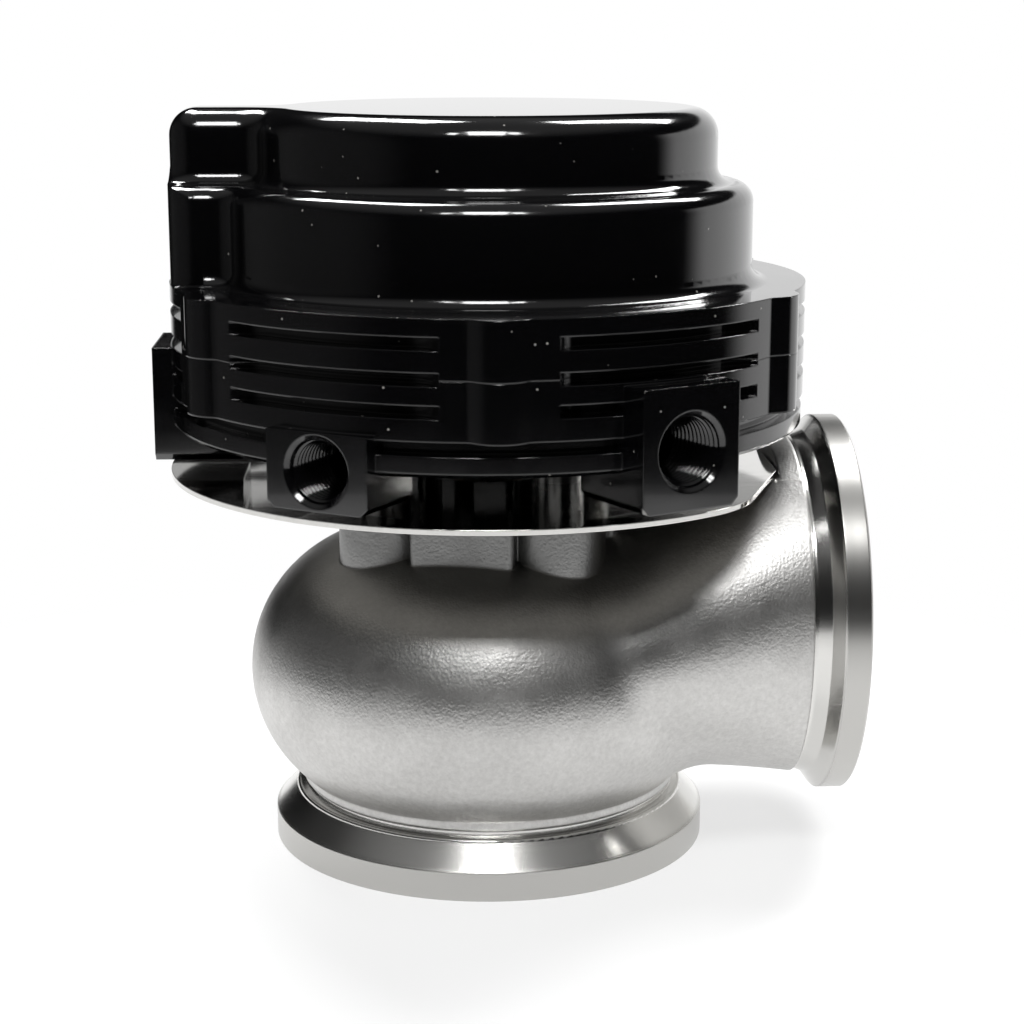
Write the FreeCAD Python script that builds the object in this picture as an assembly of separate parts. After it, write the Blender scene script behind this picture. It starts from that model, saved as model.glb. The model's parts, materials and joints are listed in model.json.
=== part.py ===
"""External exhaust wastegate with a poppet valve, a sprung diaphragm actuator and a clamp flange on each port.

Origin: centre of the inlet flange's bottom face. +Z runs up the valve stem, +X out of the outlet.
Azimuths of the actuator head are measured from -Y towards +X. All sizes are in millimetres.
"""
import FreeCAD, Part
import math
import os

V = FreeCAD.Vector
X_AXIS, Y_AXIS, Z_AXIS = V(1, 0, 0), V(0, 1, 0), V(0, 0, 1)

# ---------------------------------------------------------------- fits
SLIDE = 0.04            # radial clearance of the stem in its guide and bushing
PRESS = 0.03            # radial clearance drawn for pressed and screwed-in pieces
LOOSE = 0.25            # radial clearance of a bolt or stud in a plain hole
SEAT_GAP = 0.05         # valve face off the seat face when closed

# ---------------------------------------------------------------- inlet flange and seat
INLET_R = 34.4
INLET_RIM = 4.6         # height of the rim's straight edge
INLET_NECK_R = INLET_R - 3.8
INLET_BEVEL_TOP = 8.3
INLET_TOP = INLET_BEVEL_TOP + 0.9   # where the flange ring is welded to the casting
NECK_OUTER_R = INLET_R - 4.5
THROAT_R = NECK_OUTER_R - 3.6       # passage above the seat ring
SEAT_OUTER_R = NECK_OUTER_R - 2.9
SEAT_HEIGHT = 6.8
VALVE_R = SEAT_OUTER_R - 5.0        # 44 mm valve
SEAT_FACE = 1.4         # width of the 45 degree seat, measured along the radius

# ---------------------------------------------------------------- cast valve housing
BULB_ARC_R = 21.4       # radius of the bulb's side profile
BULB_CENTRE_R = NECK_OUTER_R - 13.4
BULB_Z = 27.4
WALL = 3.8
SEAM_BLEND = 12.0       # casting radius between bulb and outlet tube
CAST_EDGE = 0.35        # broken edge of the casting at the inlet
DECK_Z = 59.6           # top of the mounting bosses
RELIEF = 0.4            # outlet tube's flat lies this far below the deck
OUTLET_Z = BULB_Z + 9.1
OUTLET_R = 30.0         # flange
OUTLET_TUBE_R = OUTLET_R - 2.7
OUTLET_BORE_R = OUTLET_TUBE_R - 4.0
OUTLET_NECK_R = OUTLET_TUBE_R - 0.5
OUTLET_BEVEL_R = OUTLET_TUBE_R + 0.3
OUTLET_CAST_X = 47.6    # end of the casting, where the flange ring is welded on
OUTLET_COLLAR = 3.4     # round collar at the casting's end
OUTLET_NECK_X = OUTLET_CAST_X + 0.6
OUTLET_BEVEL_X = OUTLET_CAST_X + 2.6
OUTLET_RIM_X = OUTLET_CAST_X + 4.3
OUTLET_FACE_X = OUTLET_CAST_X + 8.2

# ---------------------------------------------------------------- base bolts, standoffs and heat shield
BASE_BOLTS = 4
BASE_BOLT_AZ = 31.0     # azimuth of the first base bolt
BASE_BOLT_RC = 19.0     # bolt circle radius
BASE_BOLT_R = 2.5       # M5
BASE_HEAD_R = 4.25
BASE_HEAD_H = 5.0
BASE_BOLT_REACH = 20.0  # length under the head
LOBE_R = 7.2
RIB_HALF = 8.0
RIB_REACH = 21.8
SHIELD_R = 49.5
SHIELD_T = 0.8
SHIELD_FLAT_AZ = 70.0
SHIELD_FLAT = SHIELD_R - 4.3
SHIELD_CORNER = 20.0
SHIELD_STEM_R = 9.0
STANDOFF_R = 3.8
STANDOFF_H = 6.9

# ---------------------------------------------------------------- stem, guide and bushing
STEM_R = 4.0
THREAD_R = 3.0          # M6 end of the stem
HEAD_MARGIN = 1.5
TULIP_TOP = 24.0
GUIDE_R = 7.0
GUIDE_BOTTOM = 37.0
GUIDE_TOP = DECK_Z - 1.6
GUIDE_BOSS_R = 11.0
GUIDE_BOSS_DROP = 5.0
BUSHING_R = 6.5
BUSHING_H = 9.0
SEAL_H = 2.0
RING_H = 0.8
RING_SECTION = 2.4

# ---------------------------------------------------------------- actuator head
CLOCKING = -1.0         # the head may be turned on the valve housing; degrees
PILLARS = 6
RING_R = 48.9
PILLAR_RC = RING_R - 3.6
PILLAR_R = 5.5
PILLAR_BLEND = 2.0
FLOOR_Z = DECK_Z + SHIELD_T + STANDOFF_H
FLOOR_T = 6.5
TIER_R = RING_R - 0.2
TIER_T = 3.0
UNDERCUT_R = RING_R - 2.5
RING_Z = FLOOR_Z + 5.0  # bottom of the pillared ring
SEAM_Z = RING_Z + 8.45
LEDGE_Z = SEAM_Z + 8.55
GROOVE_R = RING_R - 3.0
GROOVE_H = 1.8
GROOVE_FLOORS = (SEAM_Z + 4.15, SEAM_Z - 0.75, SEAM_Z - 5.25)
GROOVE_END_R = 6.0
GROOVE_END_AZ = 9.5     # from a pillar's middle to a groove's tip
HUB_R = 13.0
HUB_DROP = 5.9
CHAMBER_R = RING_R - 12.9

# ---------------------------------------------------------------- port blocks: azimuth, face, low, high, thread
BLOCK_W = 16.3
BLOCK_CHAMFER = 1.1
BLOCK_ROOT_R = RING_R - 10.9
AIR_THREAD_R = 5.15
WATER_THREAD_R = 4.65
PORT_DEPTH = 11.5
DRILL_R = 2.4
AIR_BLOCKS = ((30.0, RING_R + 4.3), (-90.0, RING_R + 2.4))
AIR_LOW, AIR_HIGH, AIR_Z = FLOOR_Z - 5.2, FLOOR_Z + 12.3, FLOOR_Z + 3.1
WATER_BLOCKS = ((-30.0, RING_R + 1.5), (150.0, RING_R + 1.5))
WATER_LOW, WATER_HIGH, WATER_Z = FLOOR_Z - 5.5, FLOOR_Z + 5.7, FLOOR_Z + 0.2

# ---------------------------------------------------------------- cap
DOME_R = 35.2
DOME_TOP = LEDGE_Z + 26.0
STEP = 5.5              # the lower dome stands out this far past the upper one
SHOULDER_Z = LEDGE_Z + 0.57 * (DOME_TOP - LEDGE_Z)
SHOULDER_HOLLOW = 0.22 * (DOME_TOP - SHOULDER_Z)
DOME_ROUND = 0.375 * (DOME_TOP - SHOULDER_Z)
SHOULDER_ROUND = 2.9
FLARE = 2.5
CAP_WALL = 3.7
POD_FACE = 48.2
POD_HALF = 7.0
POD_CORNER = 4.5
POD_VALLEY = 4.0
POD_PORT_Z = LEDGE_Z + 0.59 * (SHOULDER_Z - LEDGE_Z)
POD_PORT_DEPTH = 10.0

# ---------------------------------------------------------------- diaphragm stack and springs
DIAPHRAGM_T = 1.0
DIAPHRAGM_R = RING_R - 4.0
STACK_Z = SEAM_Z - 4.75 # shoulder of the stem
PLATE_T = 2.0
PLATE_R = 26.0
CUP_T = 1.8
CUP_WALL = 1.6
CUP_H = 6.5
WASHER_R = 9.0
WASHER_T = 1.6
NUT_FLATS = 10.0
NUT_H = 5.0
STEM_ABOVE_NUT = 2.5
SHIM_T = 0.8
OUTER_COIL_R, OUTER_WIRE_R, OUTER_TURNS = 22.4, 1.6, 5
INNER_COIL_R, INNER_WIRE_R, INNER_TURNS = 14.0, 1.3, 6
CAP_SCREW_RC = PILLAR_RC - 3.1
CAP_SCREW_R = 2.0       # M4
CAP_HEAD_R = 3.5
CAP_HEAD_H = 4.0
CAP_HEAD_Z = SEAM_Z - 4.15 # underside of the head's seat, up inside the pillar
CAP_SCREW_REACH = 10.0


# ---------------------------------------------------------------- helpers
def cylinder(radius, bottom, top, x=0.0, y=0.0):
    return Part.makeCylinder(radius, top - bottom, V(x, y, bottom))


def tube(outer, inner, bottom, top, x=0.0, y=0.0):
    return cylinder(outer, bottom, top, x, y).cut(cylinder(inner, bottom, top, x, y))


def at(azimuth, radius, z=0.0):
    """Point at an azimuth from -Y towards +X."""
    angle = math.radians(azimuth)
    return V(radius * math.sin(angle), -radius * math.cos(angle), z)


def ring_of(count, first=0.0):
    return [first + 360.0 * index / count for index in range(count)]


def turned(shape, azimuth):
    """Turn a shape drawn at azimuth 0 (facing -Y) round to its azimuth."""
    return shape.rotated(V(), Z_AXIS, azimuth)


def profile(*steps):
    """Closed face in the XZ plane. A step is a point, or a pair (mid, end) for an arc."""
    def lift(point):
        return V(point[0], 0, point[1])
    here = lift(steps[0])
    first = here
    edges = []
    for step in steps[1:]:
        if isinstance(step[0], tuple):
            there = lift(step[1])
            edges.append(Part.Arc(here, lift(step[0]), there).toShape())
        else:
            there = lift(step)
            edges.append(Part.makeLine(here, there))
        here = there
    if here.distanceToPoint(first) > 1e-6:
        edges.append(Part.makeLine(here, first))
    return Part.Face(Part.Wire(edges))


def spun(*steps):
    """Solid of revolution about Z from (radius, z) steps."""
    return profile(*steps).revolve(V(), Z_AXIS, 360)


def spun_on_outlet(*steps):
    """Solid of revolution about the outlet's axis from (x, radius) steps."""
    raised = [tuple((a, b + OUTLET_Z) for a, b in step) if isinstance(step[0], tuple)
              else (step[0], step[1] + OUTLET_Z) for step in steps]
    return profile(*raised).revolve(V(0, 0, OUTLET_Z), X_AXIS, 360)


def fuse_all(shapes):
    shapes = list(shapes)
    return shapes[0].multiFuse(shapes[1:]).removeSplitter() if len(shapes) > 1 else shapes[0]


def upright_edges(shape):
    return [e for e in shape.Edges
            if isinstance(e.Curve, Part.Line) and abs(e.tangentAt(e.FirstParameter).z) > 0.999]


def level_edges(shape, z):
    return [e for e in shape.Edges if abs(e.BoundBox.ZMin - z) < 1e-4 and abs(e.BoundBox.ZMax - z) < 1e-4]


def middle(edge):
    return edge.valueAt((edge.FirstParameter + edge.LastParameter) / 2)


def hexagon(flats, bottom, top):
    corner = flats / math.sqrt(3)
    points = [at(a, corner, bottom) for a in ring_of(6)]
    return Part.Face(Part.makePolygon(points + points[:1])).extrude(V(0, 0, top - bottom))


def socket_screw(shank_r, head_r, head_h, reach, flats):
    """Socket head screw along Z: the head stands on z = 0 and the shank points down."""
    head = cylinder(head_r, 0, head_h)
    head = head.makeChamfer(0.3, level_edges(head, head_h))
    socket = hexagon(flats, head_h * 0.45, head_h)
    shank = cylinder(shank_r, -reach, 0)
    shank = shank.makeChamfer(0.4, level_edges(shank, -reach))
    return head.fuse(shank).cut(socket).removeSplitter()


def coil(mean_r, wire_r, turns, bottom, top):
    """Compression spring between two planes, with its ends' wire just inside them."""
    height = top - bottom - 2 * wire_r
    helix = Part.makeHelix(height / turns, height, mean_r)
    start = V(mean_r, 0, 0)
    section = Part.Wire(Part.makeCircle(wire_r, start, V(0, 1, height / turns / (2 * math.pi * mean_r))))
    spring = Part.Wire(helix).makePipeShell([section], True, True)
    return spring.translated(V(0, 0, bottom + wire_r))


# ---------------------------------------------------------------- valve housing
def oval(x, z, half_width, half_height):
    """Upright oval section of the outlet tube, across X."""
    turns = [math.radians(angle) for angle in ring_of(16, 90.0)]
    curve = Part.BSplineCurve()
    curve.interpolate([V(x, half_width * math.cos(t), z + half_height * math.sin(t)) for t in turns], True)
    return Part.Wire(curve.toShape())


def outlet_tube(inset):
    """Cast tube from the bulb to the outlet, drawn in by the wall for the passage."""
    rise = OUTLET_Z - BULB_Z
    sections = ((-0.042, 0.09, 1.21, 0.612), (0.336, 0.45, 1.19, 0.714),
                (0.672, 0.79, 1.10, 0.857), (1.0, 1.0, 1.0, 1.0))
    wires = [oval(OUTLET_CAST_X * along, BULB_Z + rise * up,
                  OUTLET_TUBE_R * wide - inset, OUTLET_TUBE_R * tall - inset)
             for along, up, wide, tall in sections]
    return Part.makeLoft(wires, True, False)


def bulb(arc_r, neck_r, low):
    """Round body above the inlet, as a solid of revolution, with its lower edge broken."""
    side = BULB_CENTRE_R + arc_r
    meet = BULB_Z - math.sqrt(arc_r ** 2 - (neck_r - BULB_CENTRE_R) ** 2)
    return spun((0, low), (neck_r - CAST_EDGE, low), (neck_r, low + CAST_EDGE), (neck_r, meet),
                ((side, BULB_Z), (BULB_CENTRE_R, BULB_Z + arc_r)), (0, BULB_Z + arc_r))


def base_lobes():
    """Lobed mounting plate on top of the casting: a lobe under each base bolt, a rib between."""
    low = BULB_Z + BULB_ARC_R * 0.72
    pieces = [cylinder(BASE_BOLT_RC, low, DECK_Z)]
    for azimuth in ring_of(BASE_BOLTS, BASE_BOLT_AZ):
        spot = at(azimuth, BASE_BOLT_RC)
        pieces.append(cylinder(LOBE_R, low, DECK_Z, spot.x, spot.y))
        rib = Part.makeBox(2 * RIB_HALF, RIB_REACH, DECK_Z - low, V(-RIB_HALF, -RIB_REACH, low))
        rib = rib.makeFillet(1.2, [e for e in upright_edges(rib) if middle(e).y < -1])
        pieces.append(turned(rib, azimuth + 180.0 / BASE_BOLTS))
    return fuse_all(pieces)


def outlet_collar():
    """Round end of the cast tube, turned to meet the flange ring."""
    root = OUTLET_CAST_X - OUTLET_COLLAR
    return spun_on_outlet((root, 0), (root, OUTLET_TUBE_R - 1.0),
                          (OUTLET_CAST_X, OUTLET_NECK_R), (OUTLET_CAST_X, 0))


def valve_housing():
    """Casting: bulb, outlet tube and lobed mounting plate, with the gas way inside."""
    body = bulb(BULB_ARC_R, NECK_OUTER_R, INLET_TOP)
    arm = outlet_tube(0.0)
    flat_z = DECK_Z - RELIEF
    above = Part.makeBox(100, 100, 30, V(-20, -50, flat_z))
    arm = arm.cut(above)
    cast = body.fuse(arm)
    cast = blend(cast, body, arm)
    cast = fuse_all([cast, base_lobes()])
    cast = fuse_all([cast, outlet_collar()])
    return cast.cut(housing_passages(flat_z))


def blend(cast, body, arm):
    """Casting radius along both sides, where the tube grows out of the bulb."""
    seam = [e for e in cast.Edges if touches(body, middle(e)) and touches(arm, middle(e))]
    sides = [e for e in seam if e.Length > BULB_ARC_R]
    return cast.makeFillet(SEAM_BLEND, sides)


def touches(shape, point):
    return shape.Shells[0].distToShape(Part.Vertex(point))[0] < 1e-3


def housing_passages(flat_z):
    """Gas way from the throat to the outlet, the guide's bore and the tapped holes."""
    chamber = bulb(BULB_ARC_R - WALL, THROAT_R, INLET_TOP - 1)
    ceiling = BULB_Z + BULB_ARC_R - WALL
    chamber = chamber.cut(cylinder(GUIDE_BOSS_R, ceiling - GUIDE_BOSS_DROP, ceiling + 1))
    way = outlet_tube(WALL).cut(Part.makeBox(100, 100, 30, V(-20, -50, flat_z - WALL + 0.4)))
    way = way.cut(cylinder(BASE_BOLT_RC + LOBE_R - 1, ceiling, DECK_Z))
    inside, outside = OUTLET_CAST_X - 1, OUTLET_CAST_X + 1
    mouth_r = OUTLET_BORE_R + 0.1
    mouth = spun_on_outlet((inside, 0), (inside, mouth_r), (outside, mouth_r), (outside, 0))
    tools = [way, mouth, cylinder(GUIDE_R + PRESS, GUIDE_BOTTOM, DECK_Z + 1)]
    for azimuth in ring_of(BASE_BOLTS, BASE_BOLT_AZ):
        spot = at(azimuth, BASE_BOLT_RC)
        bottom = FLOOR_Z + FLOOR_T - BASE_HEAD_H - BASE_BOLT_REACH - 1.0
        tools.append(cylinder(BASE_BOLT_R + PRESS, bottom, DECK_Z + 1, spot.x, spot.y))
    return chamber.multiFuse(tools)


# ---------------------------------------------------------------- flange rings
def inlet_flange():
    """Turned clamp flange with a bevel, a bead above it and the recess for the seat."""
    bead = 0.45
    shelf = NECK_OUTER_R - CAST_EDGE
    return spun((SEAT_OUTER_R, 0), (INLET_R, 0), (INLET_R, INLET_RIM - 0.2), (INLET_R - 0.2, INLET_RIM),
                (INLET_NECK_R + bead, INLET_BEVEL_TOP - bead), ((INLET_NECK_R + 0.3, INLET_BEVEL_TOP - 0.05),
                (INLET_NECK_R - 0.1, INLET_BEVEL_TOP)), (shelf, INLET_BEVEL_TOP + 0.2), (shelf, INLET_TOP),
                (THROAT_R, INLET_TOP), (THROAT_R, SEAT_HEIGHT), (SEAT_OUTER_R, SEAT_HEIGHT))


def outlet_flange():
    """Turned clamp flange with a polished neck and a bevel up to the rim."""
    return spun_on_outlet((OUTLET_CAST_X, OUTLET_BORE_R), (OUTLET_CAST_X, OUTLET_NECK_R),
                          (OUTLET_NECK_X, OUTLET_NECK_R), (OUTLET_BEVEL_X, OUTLET_BEVEL_R),
                          (OUTLET_RIM_X - 0.2, OUTLET_R - 0.25), (OUTLET_RIM_X + 0.1, OUTLET_R),
                          (OUTLET_FACE_X - 0.3, OUTLET_R), (OUTLET_FACE_X, OUTLET_R - 0.3),
                          (OUTLET_FACE_X, OUTLET_BORE_R))


# ---------------------------------------------------------------- inlet seat, valve, guide
def valve_seat():
    """Replaceable seat ring, held in the inlet flange's recess by the clamped pipe flange."""
    mouth = VALVE_R - SEAT_FACE
    return spun((mouth, 0.4), (mouth + 0.4, 0), (SEAT_OUTER_R - PRESS - 0.5, 0), (SEAT_OUTER_R - PRESS, 0.5),
                (SEAT_OUTER_R - PRESS, SEAT_HEIGHT), (VALVE_R, SEAT_HEIGHT), (mouth, SEAT_HEIGHT - SEAT_FACE))


def poppet_valve():
    """Head, tulip and stem in one piece, with a shoulder and a screwed end for the diaphragm stack."""
    low = SEAT_HEIGHT - SEAT_FACE + SEAT_GAP
    rim = SEAT_HEIGHT + SEAT_GAP
    back = rim + HEAD_MARGIN
    tip = stack_top() + NUT_H + STEM_ABOVE_NUT
    return spun((0, low + 0.8), (VALVE_R * 0.5, low + 0.8), (VALVE_R - SEAT_FACE - 1.5, low),
                (VALVE_R - SEAT_FACE, low), (VALVE_R, rim), (VALVE_R, back),
                ((VALVE_R * 0.38, back + (TULIP_TOP - back) * 0.30), (STEM_R, TULIP_TOP)),
                (STEM_R, STACK_Z), (THREAD_R, STACK_Z), (THREAD_R, tip - 0.6), (THREAD_R - 0.6, tip), (0, tip))


def stem_guide():
    return spun((STEM_R + SLIDE, GUIDE_BOTTOM), (GUIDE_R - 1.0, GUIDE_BOTTOM), (GUIDE_R, GUIDE_BOTTOM + 1.5),
                (GUIDE_R, GUIDE_TOP), (STEM_R + SLIDE + 0.5, GUIDE_TOP), (STEM_R + SLIDE, GUIDE_TOP - 0.5))


# ---------------------------------------------------------------- heat shield, standoffs, base screws
def base_spots(z=0.0, turn=0.0):
    return [at(azimuth, BASE_BOLT_RC, z) for azimuth in ring_of(BASE_BOLTS, BASE_BOLT_AZ + turn)]


def heat_shield():
    """Thin round plate with its outlet side trimmed clear of the pipe clamp."""
    plate = cylinder(SHIELD_R, DECK_Z, DECK_Z + SHIELD_T)
    trim = Part.makeBox(60, 30, 10, V(-30, -SHIELD_FLAT - 30, DECK_Z - 5))
    plate = plate.cut(turned(trim, SHIELD_FLAT_AZ))
    plate = plate.cut(Part.makeBox(20, 120, 10, V(OUTLET_CAST_X - OUTLET_COLLAR - 0.3, -60, DECK_Z - 5)))
    corners = [e for e in upright_edges(plate) if middle(e).x > 0 and middle(e).y < -20]
    plate = plate.makeFillet(SHIELD_CORNER, corners)
    holes = [cylinder(SHIELD_STEM_R, DECK_Z - 1, DECK_Z + 2)]
    holes += [cylinder(BASE_BOLT_R + LOOSE, DECK_Z - 1, DECK_Z + 2, p.x, p.y) for p in base_spots()]
    return plate.cut(Part.makeCompound(holes))


def standoffs():
    low = DECK_Z + SHIELD_T
    return Part.makeCompound([tube(STANDOFF_R, BASE_BOLT_R + LOOSE, low, FLOOR_Z, p.x, p.y) for p in base_spots()])


def base_screws():
    seat = FLOOR_Z + FLOOR_T - BASE_HEAD_H
    screw = socket_screw(BASE_BOLT_R, BASE_HEAD_R, BASE_HEAD_H, BASE_BOLT_REACH, 4.0)
    return Part.makeCompound([screw.translated(p) for p in base_spots(seat)])


# ---------------------------------------------------------------- actuator: shared outlines
def pillared_ring(bottom, top):
    """Round ring with a blended lobe for each cap screw."""
    body = cylinder(RING_R, bottom, top)
    lobes = [cylinder(PILLAR_R, bottom, top, p.x, p.y) for p in (at(a, PILLAR_RC) for a in ring_of(PILLARS))]
    body = fuse_all([body] + lobes)
    return body.makeFillet(PILLAR_BLEND, upright_edges(body))


def grooves():
    """Cooling grooves between the pillars, with the ends that a round cutter leaves."""
    start = GROOVE_END_AZ + math.degrees(
        math.sqrt(GROOVE_END_R ** 2 - (GROOVE_R + GROOVE_END_R - RING_R) ** 2) / RING_R)
    sweep = 360.0 / PILLARS - 2 * start
    cutters = []
    for floor in GROOVE_FLOORS:
        slot = profile((GROOVE_R, floor), (RING_R + 6, floor), (RING_R + 6, floor + GROOVE_H),
                       (GROOVE_R, floor + GROOVE_H))
        slot = slot.rotated(V(), Z_AXIS, -90 + start).revolve(V(), Z_AXIS, sweep)
        for azimuth in ring_of(PILLARS):
            cutters.append(turned(slot, azimuth))
            for tip in (azimuth + start, azimuth + start + sweep):
                spot = at(tip, GROOVE_R + GROOVE_END_R)
                cutters.append(cylinder(GROOVE_END_R, floor, floor + GROOVE_H, spot.x, spot.y))
    return Part.makeCompound(cutters)


def screw_ways():
    """Stepped holes for the cap screws, entered from below."""
    ways = []
    for azimuth in ring_of(PILLARS):
        spot = at(azimuth, CAP_SCREW_RC)
        ways.append(cylinder(CAP_HEAD_R + LOOSE, FLOOR_Z - 1, CAP_HEAD_Z, spot.x, spot.y))
        ways.append(cylinder(CAP_SCREW_R + LOOSE, CAP_HEAD_Z - 1, SEAM_Z + 1, spot.x, spot.y))
    return Part.makeCompound(ways)


# ---------------------------------------------------------------- lower housing
def port_block(azimuth, face, low, high):
    block = Part.makeBox(BLOCK_W, face - BLOCK_ROOT_R, high - low, V(-BLOCK_W / 2, -face, low))
    corners = [e for e in level_edges(block, low) if abs(middle(e).x) > BLOCK_W / 2 - 0.01]
    return turned(block.makeChamfer(BLOCK_CHAMFER, corners), azimuth)


def port_hole(azimuth, face, z, thread_r, rise_to):
    """Tapped port with a countersunk mouth, and a drilling that turns up into the housing."""
    mouth = face + 1
    cone = Part.makeCone(thread_r + 0.6, thread_r, 0.6, V(0, -face, z), Y_AXIS)
    cone = cone.fuse(Part.makeCylinder(thread_r + 0.6, 1, V(0, -mouth, z), Y_AXIS))
    hole = Part.makeCylinder(thread_r, PORT_DEPTH, V(0, -face, z), Y_AXIS)
    inner = face - PORT_DEPTH
    drill = Part.makeCylinder(DRILL_R, inner - CHAMBER_R + 2.5 * DRILL_R, V(0, -inner, z), Y_AXIS)
    up = cylinder(0.8 * DRILL_R, z, rise_to, 0, -(CHAMBER_R - 1.5 * DRILL_R))
    return turned(fuse_all([cone, hole, drill, up]) if rise_to > z else cone.fuse(hole), azimuth)


def lower_housing():
    """Finned lower half of the actuator: pillars, undercut, base flange, port blocks and stem hub."""
    top = FLOOR_Z + FLOOR_T
    tier = cylinder(TIER_R, FLOOR_Z, FLOOR_Z + TIER_T)
    tier = tier.makeChamfer(0.6, level_edges(tier, FLOOR_Z))
    pieces = [pillared_ring(RING_Z, SEAM_Z), cylinder(UNDERCUT_R, FLOOR_Z + 0.5, RING_Z + 0.5), tier]
    pieces.append(cylinder(HUB_R, FLOOR_Z - HUB_DROP, FLOOR_Z + 1))
    body = fuse_all(pieces)
    body = body.cut(grooves())
    for azimuth, face in AIR_BLOCKS:
        body = body.fuse(port_block(azimuth, face, AIR_LOW, AIR_HIGH))
    for azimuth, face in WATER_BLOCKS:
        body = body.fuse(port_block(azimuth, face, WATER_LOW, WATER_HIGH))
    body = body.removeSplitter()
    tools = [cylinder(CHAMBER_R, top, SEAM_Z + 1), cylinder(DIAPHRAGM_R + LOOSE, SEAM_Z - DIAPHRAGM_T, SEAM_Z + 1)]
    tools.append(cylinder(BUSHING_R + PRESS, FLOOR_Z - HUB_DROP - 1, top + 1))
    tools.append(cylinder(ring_groove_r(), ring_z(), ring_z() + RING_H + 0.1))
    for p in base_spots(turn=-CLOCKING):
        tools.append(cylinder(BASE_BOLT_R + LOOSE, FLOOR_Z - 1, top, p.x, p.y))
        tools.append(cylinder(BASE_HEAD_R + LOOSE, top - BASE_HEAD_H, top + 1, p.x, p.y))
    tools += [port_hole(azimuth, face, AIR_Z, AIR_THREAD_R, top + 1) for azimuth, face in AIR_BLOCKS]
    tools += [port_hole(azimuth, face, WATER_Z, WATER_THREAD_R, 0) for azimuth, face in WATER_BLOCKS]
    return body.cut(Part.makeCompound(tools)).cut(screw_ways())


def ring_z():
    return FLOOR_Z + FLOOR_T - RING_H - 0.4


def ring_groove_r():
    return BUSHING_R + 0.6


def stem_bushing():
    low = ring_z() - SEAL_H - 0.1 - BUSHING_H
    return tube(BUSHING_R, STEM_R + SLIDE, low, low + BUSHING_H)


def stem_seal():
    low = ring_z() - SEAL_H - 0.05
    return tube(BUSHING_R, STEM_R + SLIDE, low, low + SEAL_H)


def retaining_ring():
    """Internal snap ring over the stem seal, open at one side."""
    ring = tube(ring_groove_r() - PRESS, ring_groove_r() - RING_SECTION + 0.6, ring_z(), ring_z() + RING_H)
    return ring.cut(Part.makeBox(4, 12, 4, V(-2, 0, ring_z() - 1)))


# ---------------------------------------------------------------- diaphragm stack on the stem
def stack_top():
    """Top of the washer, where the stem nut sits."""
    return STACK_Z + PLATE_T + DIAPHRAGM_T + CUP_T + WASHER_T


def lower_diaphragm_plate():
    return spun((THREAD_R + PRESS, STACK_Z), (PLATE_R - 2.0, STACK_Z), ((PLATE_R - 0.6, STACK_Z + 0.6),
                (PLATE_R, STACK_Z + PLATE_T)), (THREAD_R + PRESS, STACK_Z + PLATE_T))


def diaphragm():
    """Moulded sheet: clamped rim, rolling fold, flat middle held between the plates."""
    low = STACK_Z + PLATE_T
    rim_low = SEAM_Z - DIAPHRAGM_T
    fold = CHAMBER_R - 0.6
    sheet = spun((THREAD_R + PRESS, low), (PLATE_R + 0.6, low), (fold, rim_low), (DIAPHRAGM_R, rim_low),
                 (DIAPHRAGM_R, SEAM_Z), (fold - 0.4, SEAM_Z), (PLATE_R + 0.2, low + DIAPHRAGM_T),
                 (THREAD_R + PRESS, low + DIAPHRAGM_T))
    holes = [cylinder(CAP_SCREW_R + LOOSE, low, SEAM_Z + 1, p.x, p.y)
             for p in (at(a, CAP_SCREW_RC) for a in ring_of(PILLARS))]
    return sheet.cut(Part.makeCompound(holes))


def spring_cup():
    low = STACK_Z + PLATE_T + DIAPHRAGM_T
    return spun((THREAD_R + PRESS, low), (PLATE_R, low), (PLATE_R, low + CUP_H), (PLATE_R - CUP_WALL, low + CUP_H),
                (PLATE_R - CUP_WALL, low + CUP_T), (THREAD_R + PRESS, low + CUP_T))


def stem_washer():
    low = stack_top() - WASHER_T
    washer = tube(WASHER_R, THREAD_R + PRESS, low, low + WASHER_T)
    return washer.makeChamfer(0.3, [e for e in level_edges(washer, low + WASHER_T) if e.Length > 30])


def stem_nut():
    low = stack_top()
    nut = hexagon(NUT_FLATS, low, low + NUT_H)
    corner = NUT_FLATS / math.sqrt(3)
    dome = spun((0, low), (corner + 0.2, low), (corner + 0.2, low + NUT_H - 0.8), (corner - 1.0, low + NUT_H),
                (0, low + NUT_H))
    return nut.common(dome).cut(cylinder(THREAD_R + PRESS, low - 1, low + NUT_H + 1))


def spring_floor():
    return STACK_Z + PLATE_T + DIAPHRAGM_T + CUP_T


def cap_ceiling():
    return DOME_TOP - CAP_WALL


def outer_spring():
    return coil(OUTER_COIL_R, OUTER_WIRE_R, OUTER_TURNS, spring_floor(), cap_ceiling() - SHIM_T)


def inner_spring():
    return coil(INNER_COIL_R, INNER_WIRE_R, INNER_TURNS, spring_floor(), cap_ceiling() - SHIM_T)


def spring_shim():
    return tube(PLATE_R, WASHER_R, cap_ceiling() - SHIM_T, cap_ceiling())


# ---------------------------------------------------------------- cap
def dome_tier(radius, pod_half, pod_reach, corner, valley, bottom, top):
    """Round tier of the cap with the port pod standing out towards -X."""
    pod = Part.makeBox(pod_reach, 2 * pod_half, top - bottom, V(-pod_reach, -pod_half, bottom))
    tier = fuse_all([cylinder(radius, bottom, top), pod])
    valleys = [e for e in upright_edges(tier) if -radius - 0.01 < middle(e).x < -radius / 2]
    tier = tier.makeFillet(valley, valleys)
    corners = [e for e in upright_edges(tier) if middle(e).x < -pod_reach + 0.01]
    return tier.makeFillet(corner, corners)


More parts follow.
